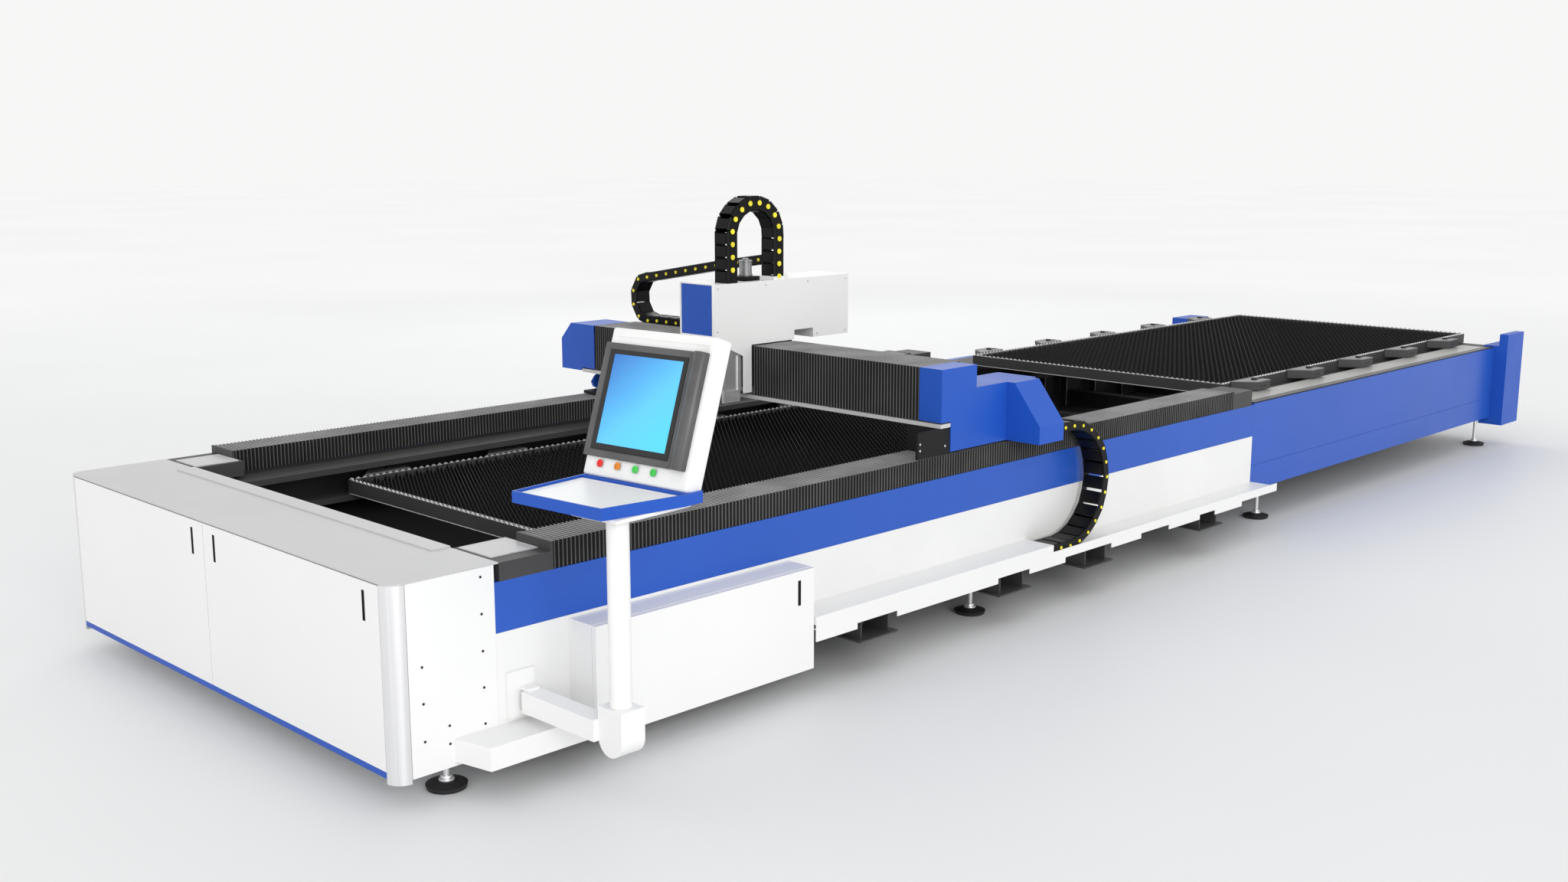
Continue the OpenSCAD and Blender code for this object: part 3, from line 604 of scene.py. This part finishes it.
def hang_chain(piece, body_a, slot, node):
    place(piece, body_a, slot, node)
    piece.parent = None
    piece.matrix_world = Matrix.Identity(4)
    follow(piece)


EX, EY, EZ = Vector((1, 0, 0)), Vector((0, 1, 0)), Vector((0, 0, 1))


def hang_steady(piece, body_a, slot, node):
    """Hangs a loop the same way as a strand."""
    hang_chain(piece, body_a, slot, node)


# the long axis: lower strand in the tray, loop, upper strand in the saddle's hood
X_CHAIN_Y = -1187
X_PITCH = 66
X_START, X_BEND, X_END = 1600, 3104, 2850
X_RADIUS = 252
X_LOW = 250
X_HIGH = X_LOW + 2 * X_RADIUS
long_link = chain_link("long_chain_link", X_PITCH, 38, 110)
lower = lay_chain("x_chain_lower", long_link,
                  [at(X_START, X_CHAIN_Y, X_LOW), at(X_BEND, X_CHAIN_Y, X_LOW)], X_PITCH, EY)
loop = lay_chain("x_chain_loop", long_link,
                 arc(at(X_BEND, X_CHAIN_Y, X_LOW + X_RADIUS), X_RADIUS, -90, 90, 48, (EX, EZ)),
                 X_PITCH, EY)
upper = lay_chain("x_chain_upper", long_link,
                  [at(X_BEND, X_CHAIN_Y, X_HIGH), at(X_END, X_CHAIN_Y, X_HIGH)], X_PITCH, EY)
hang_chain(lower, "bed", "black_plastic", "x_chain")
hang_steady(loop, "bed", "black_plastic", "x_chain")
hang_chain(upper, "bed", "black_plastic", "x_chain")
bpy.data.objects.remove(long_link)

# the cross axis: on its shelf behind the beam
Y_CHAIN_X = 2714
Y_PITCH = 68
cross_link = chain_link("cross_chain_link", Y_PITCH, 42, 90)
lower = lay_chain("y_chain_lower", cross_link,
                  [at(Y_CHAIN_X, 110, 1056.5), at(Y_CHAIN_X, 933, 1056.5)], Y_PITCH, -EX)
loop = lay_chain("y_chain_loop", cross_link,
                 arc(at(Y_CHAIN_X, 933, 1159.5), 103, -90, 90, 30, (EY, EZ)), Y_PITCH, -EX)
upper = lay_chain("y_chain_upper", cross_link,
                  [at(Y_CHAIN_X, 933, 1262.5), at(Y_CHAIN_X, 438, 1346), at(Y_CHAIN_X, 100, 1395)],
                  Y_PITCH, -EX)
hang_chain(lower, "gantry", "black_plastic", "y_chain")
hang_steady(loop, "gantry", "black_plastic", "y_chain")
hang_chain(upper, "gantry", "black_plastic", "y_chain")
bpy.data.objects.remove(cross_link)

# the lift axis: an upright arch on the carriage
Z_CHAIN_Y = -23
lift_link = chain_link("lift_chain_link", 55, 62, 82)
arch = lay_chain("z_chain_arch", lift_link,
                 [at(2567, Z_CHAIN_Y, 1333), at(2567, Z_CHAIN_Y, 1509)]
                 + arc(at(2429, Z_CHAIN_Y, 1509.5), 138, 2, 178, 36, (EX, EZ))
                 + [at(2291, Z_CHAIN_Y, 1509), at(2291, Z_CHAIN_Y, 1319)], 55, EY)
hang_chain(arch, "carriage", "black_plastic", "z_chain")
bpy.data.objects.remove(lift_link)


# ------------------------------------------------------------------ pallets

INNER_PALLET = ("inner_pallet", 950, 555)      # body, start along X, height of the tops
OUTER_PALLET = ("outer_pallet", 5065, 675)
PALLET_LENGTH = 3095
PALLET_HALF = 811
SLATS = 60
SLAT_PITCH = 50
TOOTH = 22


def toothed_slats(body, x0, z1):
    """Standing slats with a row of sharp teeth along the top of each."""
    prefix = body.split("_")[0]
    teeth, half, low = 52, 780, z1 - 64
    deselect()
    bpy.ops.mesh.primitive_grid_add(x_subdivisions=teeth * 2, y_subdivisions=2, size=1,
                                    rotation=(math.radians(90), 0, math.radians(90)),
                                    location=at(x0, 0, (z1 + low) / 2))
    slat = settle(named(prefix + "_toothed_slats"))
    middle = at(x0, 0, (z1 + low) / 2)
    only(slat)
    bpy.ops.object.mode_set(mode="EDIT")
    bpy.ops.mesh.select_all(action="SELECT")
    bpy.ops.transform.resize(value=(1, 2 * half * MM, (z1 - low) * MM), center_override=middle)
    back_to_object()
    pitch = half / teeth * MM
    y_start = at(0, -half, 0).y
    pick_points(slat, lambda p: p.z > (z1 - 1) * MM and round((p.y - y_start) / pitch) % 2 == 0)
    bpy.ops.transform.translate(value=(0, 0, -TOOTH * MM))
    back_to_object()
    apply_modifier(slat, "SOLIDIFY", thickness=0.003, offset=0)
    apply_modifier(slat, "ARRAY", count=SLATS, use_relative_offset=False, use_constant_offset=True,
                   constant_offset_displace=(SLAT_PITCH * MM, 0, 0))
    slat.data.transform(Matrix.Translation(Vector((48 * MM, 0, 0))))
    paint_with(slat, SLAT_STEEL)
    place(slat, body, "dark_steel", body + "_slats")


toothed_slats(*INNER_PALLET)
toothed_slats(*OUTER_PALLET)


# ------------------------------------------------------------------ console

TURN = math.radians(5)
LEAN = math.radians(18.5)
HOUSING = (Matrix.Translation(at(435, -1540, 915.4)) @ Matrix.Rotation(TURN, 4, "Z")
           @ Matrix.Translation(Vector((0.2, 0, 0))) @ Matrix.Rotation(LEAN, 4, "Y"))
TO_LOCAL = Matrix.Translation(-at(0, 0, 0))


def on_housing(obj):
    """Moves a piece drawn at the frame's corner onto the leaning housing."""
    obj.data.transform(HOUSING @ TO_LOCAL)
    return obj


def screen_material():
    """A lit screen with a plain gradient, from deep blue at its upper corner to pale at the lower."""
    material, nodes, links, shader, spot = new_material("lit_screen", (0.03, 0.2, 0.6), 0.15)
    mapping = nodes.new("ShaderNodeMapping")
    corner = HOUSING @ Vector((0, 0.3, 0.1))
    mapping.inputs["Location"].default_value = -corner
    links.new(spot.outputs["Object"], mapping.inputs["Vector"])
    split = nodes.new("ShaderNodeSeparateXYZ")
    links.new(mapping.outputs["Vector"], split.inputs["Vector"])
    share = spread(nodes, links, split.outputs["Z"], 0, 1)
    share.inputs["From Min"].default_value = 0.0
    share.inputs["From Max"].default_value = 0.27
    cross = spread(nodes, links, split.outputs["Y"], 0, 0.45)
    cross.inputs["From Min"].default_value = -0.285
    cross.inputs["From Max"].default_value = 0.033
    both = nodes.new("ShaderNodeMath")
    both.operation = "MULTIPLY_ADD"
    both.inputs[1].default_value = 0.45
    links.new(share.outputs["Result"], both.inputs[0])
    links.new(cross.outputs["Result"], both.inputs[2])
    colours = nodes.new("ShaderNodeValToRGB")
    colours.color_ramp.elements[0].color = (0.06, 0.56, 0.66, 1)
    colours.color_ramp.elements[1].color = (0.02, 0.10, 0.42, 1)
    middle = colours.color_ramp.elements.new(0.45)
    middle.color = (0.09, 0.46, 0.80, 1)
    glow = noise(nodes, links, spot, 4, 1)
    mix = nodes.new("ShaderNodeMath")
    mix.operation = "MULTIPLY_ADD"
    mix.inputs[1].default_value = 0.12
    links.new(glow.outputs["Fac"], mix.inputs[0])
    links.new(both.outputs["Value"], mix.inputs[2])
    links.new(mix.outputs["Value"], colours.inputs["Fac"])
    links.new(colours.outputs["Color"], shader.inputs["Base Color"])
    links.new(colours.outputs["Color"], shader.inputs["Emission Color"])
    shader.inputs["Emission Strength"].default_value = 0.35
    return material


SCREEN = screen_material()

housing = block("monitor_housing", (0, 68), (-75, 355), (2, 459))
soften(housing, 9, 3, 40)
recess(housing, lambda f: f.normal.x < -0.9 and f.area > 0.1, 18, 1.5)
on_housing(smooth(housing))
place(paint_with(housing, WHITE), "console", "white_paint", "console_housing")

bezel = block("monitor_bezel", (-9, 1.0), (-8, 360), (60, 410))
recess(bezel, facing(0, -1), 20, 4)
roll = rod("bezel_roll", at(-4, -31, 60), at(-4, -31, 410), 26, 40)
bezel = join("monitor_bezel", [bezel, soften(roll, 3, 2, 60)])
soften(bezel, 2, 2, 60)
paint_with(bezel, CONSOLE_GREY, SCREEN_BLACK)
for face in bezel.data.polygons:
    if face.normal.x < -0.9 and face.area > 0.05:
        face.material_index = 1
on_housing(smooth(bezel))
place(bezel, "console", "black_plastic")

glass = block("screen_panel", (-7.5, 5.2), (14.6, 333.4), (84.6, 393.4))
recess(glass, facing(0, -1), 17, 0.8)
paint_with(glass, SCREEN_BLACK, SCREEN)
for face in glass.data.polygons:
    if face.normal.x < -0.9 and face.area > 0.05:
        face.material_index = 1
on_housing(glass)
place(glass, "console", "screen_glass", "console_screen")

BUTTONS = (("red_button", RED, "red_plastic"), ("orange_button", ORANGE, "orange_plastic"),
           ("left_green_button", GREEN, "green_plastic"), ("right_green_button", GREEN, "green_plastic"))
BUTTON_NODES = ("button_red", "button_orange", "button_green_left", "button_green_right")
BUTTON_Z = 42
for i, (body, finish, slot) in enumerate(BUTTONS):
    y = 284 - 74 * i
    cap = rod(body + "_cap", at(3, y, BUTTON_Z), at(-7, y, BUTTON_Z), 9, 32)
    soften(cap, 1.5, 3, 60)
    recess(cap, lambda f: f.normal.x < -0.95, 2, 0.6)
    on_housing(smooth(cap))
    place(paint_with(cap, finish), body, slot, BUTTON_NODES[i])
    collar = rod(body + "_collar", at(0.4, y, BUTTON_Z), at(-3, y, BUTTON_Z), 14, 32)
    soften(collar, 1, 2, 60)
    recess(collar, lambda f: f.normal.x < -0.95, 3.6, 1.5)
    on_housing(smooth(collar))
    place(paint_with(collar, SATIN_STEEL), "console", "satin_steel")

POST = (Matrix.Translation(at(435, -1540, 0)) @ Matrix.Rotation(TURN, 4, "Z") @ TO_LOCAL)


def slide_points(obj, test, shift):
    pick_points(obj, test)
    bpy.ops.transform.translate(value=tuple(v * MM for v in shift))
    back_to_object()


tray_pan = block("tray_pan", (-83, 194), (-22, 333), (903, 907))
x_mid, y_mid = at(40, 0, 0).x, at(0, 100, 0).y
slide_points(tray_pan, lambda p: p.x > x_mid and p.y < y_mid, (0, -56, 0))
slide_points(tray_pan, lambda p: p.x > x_mid and p.y > y_mid, (0, 14, 0))
recess(tray_pan, facing(2, 1), 6, 1.2)
tray_pan.data.transform(POST)
place(paint_with(tray_pan, WHITE), "console", "white_paint")

tray_bracket = block("tray_bracket", (-60, 240), (-60, 130), (868, 879.6))
soften(tray_bracket, 3, 2, 40)
recess(tray_bracket, facing(2, -1), 14, 4)
tray_bracket.data.transform(POST)
place(paint_with(tray_bracket, WHITE), "console", "white_paint")


# ------------------------------------------------------------------ trim on the pallets

def toothed_strip(name, length, height, depth, pitch):
    """A standing strip along X whose upper edge is a row of teeth."""
    count = round(length / pitch)
    deselect()
    bpy.ops.mesh.primitive_grid_add(x_subdivisions=count * 2, y_subdivisions=2, size=1,
                                    rotation=(math.radians(90), 0, 0))
    strip = settle(named(name))
    only(strip)
    bpy.ops.object.mode_set(mode="EDIT")
    bpy.ops.mesh.select_all(action="SELECT")
    bpy.ops.transform.resize(value=(length * MM, 1, height * MM), center_override=(0, 0, 0))
    back_to_object()
    step = length / count / 2 * MM
    pick_points(strip, lambda p: p.z > height * 0.4 * MM
                and round((p.x + length / 2 * MM) / step) % 2 == 0)
    bpy.ops.transform.translate(value=(0, 0, -depth * MM))
    back_to_object()
    apply_modifier(strip, "SOLIDIFY", thickness=0.004, offset=0)
    return paint_with(strip, BRIGHT_EDGE)


LUG_PITCH = 606
LUG_REACH = 925


def pallet_trim(body, x0, z1):
    """Bright teeth along the frame's edges, lips at its ends and lugs along its sides."""
    prefix = body.split("_")[0]
    middle = x0 + PALLET_LENGTH / 2
    quarter = Matrix.Rotation(math.radians(90), 4, "Z")
    strips = []
    for side in (-1, 1):
        long_strip = toothed_strip("strip", PALLET_LENGTH, 16, 10, 30)
        long_strip.data.transform(Matrix.Translation(at(middle, side * (PALLET_HALF - 3), z1 - 8)))
        end_strip = toothed_strip("strip", 1600, 16, 10, 30)
        end_strip.data.transform(Matrix.Translation(at(middle + side * 1543, 0, z1 - 8)) @ quarter)
        strips += [long_strip, end_strip]
    place(join(prefix + "_pallet_teeth", strips), body, "satin_steel")
    lips = []
    for x in (x0 - 0.5, x0 + PALLET_LENGTH - 3):
        lips.append(soften(block("lip", (x, x + 3.5), (-806, 806), (z1 - 66, z1 - 62)), 0.8, 1, 40))
    place(paint_with(join(prefix + "_pallet_lips", lips), BRIGHT_EDGE), body, "satin_steel")
    lugs = []
    for i in range(5):
        x = x0 + 295 + LUG_PITCH * i
        plate = block("lug", (x - 215, x), (-LUG_REACH, -PALLET_HALF - 3), (z1 - 2.2, z1 + 1.5))
        slide_points(plate, lambda p: p.x < at(x - 100, 0, 0).x and p.y < at(0, -870, 0).y, (85, 0, 0))
        recess(plate, facing(2, 1), 5, 1)
        # Painted shade: the black slot block and the black discs on the lug's face stand where it has
        # openings, their black standing in for the shade inside them.
        slot = block("slot", (x - 78, x + 1), (-875, -861), (z1 - 2, z1 + 2.2))
        recess(slot, facing(2, 1), 2, 1.5)
        pin = soften(rod("pin", at(x - 70, -868, z1 - 20), at(x - 70, -868, z1 + 9), 15, 20), 2, 2, 60)
        holes = [rod("hole", at(x - d, -LUG_REACH + 0.5, z1 - 25),
                     at(x - d, -LUG_REACH - 1.5, z1 - 25), 4, 12) for d in (60, 90)]
        lugs.append(paint_with(plate, LUG_GREY))
        lugs += [paint_with(part, BLACK_PAINT) for part in (slot, pin, *holes)]
    near = join(prefix + "_pallet_lugs", lugs)
    both = join(prefix + "_pallet_lugs", [near, mirrored(near)])
    place(smooth(both), body, "dark_steel")


pallet_trim(*INNER_PALLET)
pallet_trim(*OUTER_PALLET)


# ------------------------------------------------------------------ trim on the cabinet and bed

def slot_insert(name, body, y, x_face, z):
    """The black finger slot set into a door."""
    insert = block(name, (x_face - 0.8, x_face + 3.5), (y - 6.5, y + 6.5), z)
    recess(insert, facing(0, -1), 1.5, 2.5)
    place(paint_with(insert, BLACK_PAINT), body, "black_plastic")


DOOR_FACE = -45
DOOR_SLOT_Z = (553.5, 644.5)
slot_insert("near_door_slot_1", "door_near", -55, DOOR_FACE, DOOR_SLOT_Z)
slot_insert("near_door_slot_2", "door_near", -975, DOOR_FACE, DOOR_SLOT_Z)
slot_insert("far_door_slot", "door_far", 100, DOOR_FACE, DOOR_SLOT_Z)
box_slot = block("box_door_slot", (1473.5, 1486.5), (-1240.8, -1236), (330.5, 419.5))
recess(box_slot, facing(1, -1), 1.5, 2.5)
place(paint_with(box_slot, BLACK_PAINT), "box_door", "black_plastic")


def screw_row(name, body, finish, places, direction, radius=5):
    """Round screw heads with a sunk middle, all on one flat face."""
    heads = []
    for spot in places:
        head = rod("head", at(*spot), at(*spot) + direction * 2.2 * MM, radius, 14)
        soften(head, 0.7, 1, 60)
        recess(head, lambda f: f.normal.dot(direction) > 0.95, radius * 0.35, 0.8)
        heads.append(head)
    place(paint_with(smooth(join(name, heads)), finish), body, "satin_steel")


SIDE = -1110
side_screws = [(264, SIDE, z) for z in (648, 535, 421, 308, 195)]
side_screws += [(54, SIDE, z) for z in (421, 310, 195)] + [(139, SIDE, 166), (139, SIDE, 222)]
screw_row("cabinet_side_screws", "bed", BLACK_PAINT, side_screws, -EY, 4)
screw_row("saddle_apron_screws", "gantry", RAIL_STEEL,
          [(2275, -1108, 770), (2275, -1108, 745), (2425, -1108, 745)], -EY)
screw_row("carriage_side_screws", "carriage", RAIL_STEEL,
          [(x, -69, 1300) for x in (2200, 2480, 2740, 2985)]
          + [(x, -69, 1066) for x in (2800, 2985)] + [(2195, -69, 1120)], -EY, 4)

nuts = []
for x in (170, 2701, 5075, 7880):
    nut = soften(rod("nut", at(x, -1034, 26), at(x, -1034, 40), 19, 6), 2, 1, 50)
    nuts += [nut, soften(rod("socket", at(x, -1034, 23), at(x, -1034, 30), 24, 24), 2, 2, 50)]
nuts = join("foot_nuts", nuts)
place(paint_with(smooth(join("foot_nuts", [nuts, mirrored(nuts)])), SATIN_STEEL), "bed", "satin_steel")

lid = block("end_block_lid", (345, 520), (-1050, -880), (677.5, 682))
recess(lid, facing(2, 1), 6, 1)
soften(lid, 1, 1, 40)
place(paint_with(join("end_block_lids", [lid, mirrored(lid)]), PALE_GREY), "bed", "grey_paint")

edges = []
for x in (5380, 5720, 6060, 6300, 6630, 6960, 7300, 7640):
    edges.append(soften(block("edge", (x - 1, x + 6), (-1000, -996), (200, 438)), 1, 1, 40))
edges = join("rib_edges", edges)
place(paint_with(join("rib_edges", [edges, mirrored(edges)]), RAIL_STEEL), "bed", "rail_steel")



# ------------------------------------------------------------------ carriage and head

trim = block("carriage_front_trim", (2168.5, 2176), (-70.5, 136), (1097, 1322))
recess(trim, facing(0, -1), 7, 4)
soften(trim, 1.5, 2, 40)
place(paint_with(smooth(trim), WHITE, BLUE), "carriage", "white_paint")
for face in trim.data.polygons:
    if face.normal.x < -0.9 and face.area > 0.02:
        face.material_index = 1

MOTOR_XY = (2440, 14)
motor = [rod("lift_motor", at(*MOTOR_XY, 1336), at(*MOTOR_XY, 1404), 27, 32)]
for z in (1338, 1396):
    motor.append(soften(rod("ring", at(*MOTOR_XY, z), at(*MOTOR_XY, z + 7), 30, 32), 2, 2, 50))
motor.append(soften(rod("cap", at(*MOTOR_XY, 1402), at(*MOTOR_XY, 1412), 18, 32, 13), 2, 2, 50))
place(paint_with(smooth(join("lift_motor_trim", motor)), MOTOR_GREY), "carriage", "satin_steel")

HEAD_XY = (2290, 30)
nozzle = [rod("nozzle", at(*HEAD_XY, 843), at(*HEAD_XY, 818), 24, 32, 13),
          rod("nozzle", at(*HEAD_XY, 818), at(*HEAD_XY, 797), 10, 32, 3.5),
          soften(rod("nozzle", at(*HEAD_XY, 850), at(*HEAD_XY, 838), 29, 32), 2, 2, 50)]
place(paint_with(smooth(join("brass_nozzle", nozzle)), BRASS), "head", "satin_steel")

plate = block("head_front_plate", (2232, 2238.5), (-62, 60), (870, 1046))
recess(plate, facing(0, -1), 9, 3)
soften(plate, 2, 2, 40)
paint_with(plate, SATIN_STEEL, BLACK_PLASTIC)
for face in plate.data.polygons:
    if face.normal.x < -0.9 and face.area > 0.01:
        face.material_index = 1
place(smooth(plate), "head", "satin_steel")


def hose(name, centre, radius, thickness):
    """The upper half of a ring that stands across Y: a hose that bends from one fitting to another."""
    deselect()
    bpy.ops.mesh.primitive_torus_add(
        location=centre, major_radius=radius * MM, minor_radius=thickness * MM,
        major_segments=40, minor_segments=12, rotation=(math.radians(90), 0, 0))
    obj = settle(named(name))
    pick(obj, lambda f: True)
    bpy.ops.mesh.bisect(plane_co=centre, plane_no=(0, 0, 1), clear_inner=True, use_fill=True)
    back_to_object()
    return smooth(outward(obj))


HOSE_X = 2262
hoses = []
for y, radius in ((-30, 60), (0, 48), (34, 66), (62, 52)):
    hoses.append(hose("hose", at(HOSE_X, y, 1060), radius, 6.5))
    for x in (HOSE_X - radius, HOSE_X + radius):
        hoses.append(soften(rod("fitting", at(x, y, 1062), at(x, y, 1030), 9, 12), 1.5, 1, 50))
place(paint_with(join("head_hoses", hoses), BLACK_PLASTIC), "head", "black_plastic")


# ------------------------------------------------------------------ floor, light and camera

def floor_material_with_painted_glow():
    material, nodes, links, shader, spot = new_material("pale_floor_painted_glow", (0.76, 0.765, 0.78), 0.5)
    cloud = noise(nodes, links, spot, 0.25, 3)
    shade = ramp(nodes, links, cloud.outputs["Fac"], (0.74, 0.745, 0.755), (0.78, 0.785, 0.795), 0.3, 0.7)
    links.new(shade.outputs["Color"], shader.inputs["Base Color"])
    # Painted light: the floor glows more the farther it lies from the machine, brightening the far floor
    # without a lamp.
    reach = nodes.new("ShaderNodeVectorMath")
    reach.operation = "LENGTH"
    links.new(spot.outputs["Object"], reach.inputs[0])
    glow = spread(nodes, links, reach.outputs["Value"], 0.0, 0.17)
    glow.inputs["From Min"].default_value = 4.0
    glow.inputs["From Max"].default_value = 15.0
    shader.inputs["Emission Color"].default_value = (1.0, 0.99, 0.96, 1)
    links.new(glow.outputs["Result"], shader.inputs["Emission Strength"])
    return material


deselect()
bpy.ops.mesh.primitive_plane_add(size=120, location=(0, 0, -0.5 * MM))
floor = named("studio_floor")
paint_with(floor, floor_material_with_painted_glow())

scene = bpy.context.scene
scene.view_settings.view_transform = "Standard"
world = bpy.data.worlds.new("studio")
scene.world = world
world.use_nodes = True
background = world.node_tree.nodes["Background"]
background.inputs["Color"].default_value = (0.93, 0.93, 0.925, 1)
background.inputs["Strength"].default_value = 1.0


def softbox(name, position, target, size, watts):
    light = bpy.data.lights.new(name, "AREA")
    light.shape = "SQUARE"
    light.size = size
    light.energy = watts
    obj = bpy.data.objects.new(name, light)
    scene.collection.objects.link(obj)
    obj.location = position
    obj.rotation_euler = (Vector(target) - Vector(position)).to_track_quat("-Z", "Y").to_euler()


softbox("key_softbox", (-13, -25, 9), (0.5, 0, 0.4), 15, 2900)
softbox("front_softbox", (-16, -5, 4), (0, 0, 0.6), 7, 130)
softbox("back_softbox", (5, 7, 6), (0, 0, 0.4), 6, 120)

camera_data = bpy.data.cameras.new("view_camera")
camera_data.sensor_width = 36
camera_data.lens = 36.65
camera_data.clip_end = 300
camera = bpy.data.objects.new("view_camera", camera_data)
scene.collection.objects.link(camera)
camera.location = at(-2338, -4930, 1910)
camera.rotation_euler = (math.radians(79.32), 0, math.radians(-45.4))
scene.camera = camera
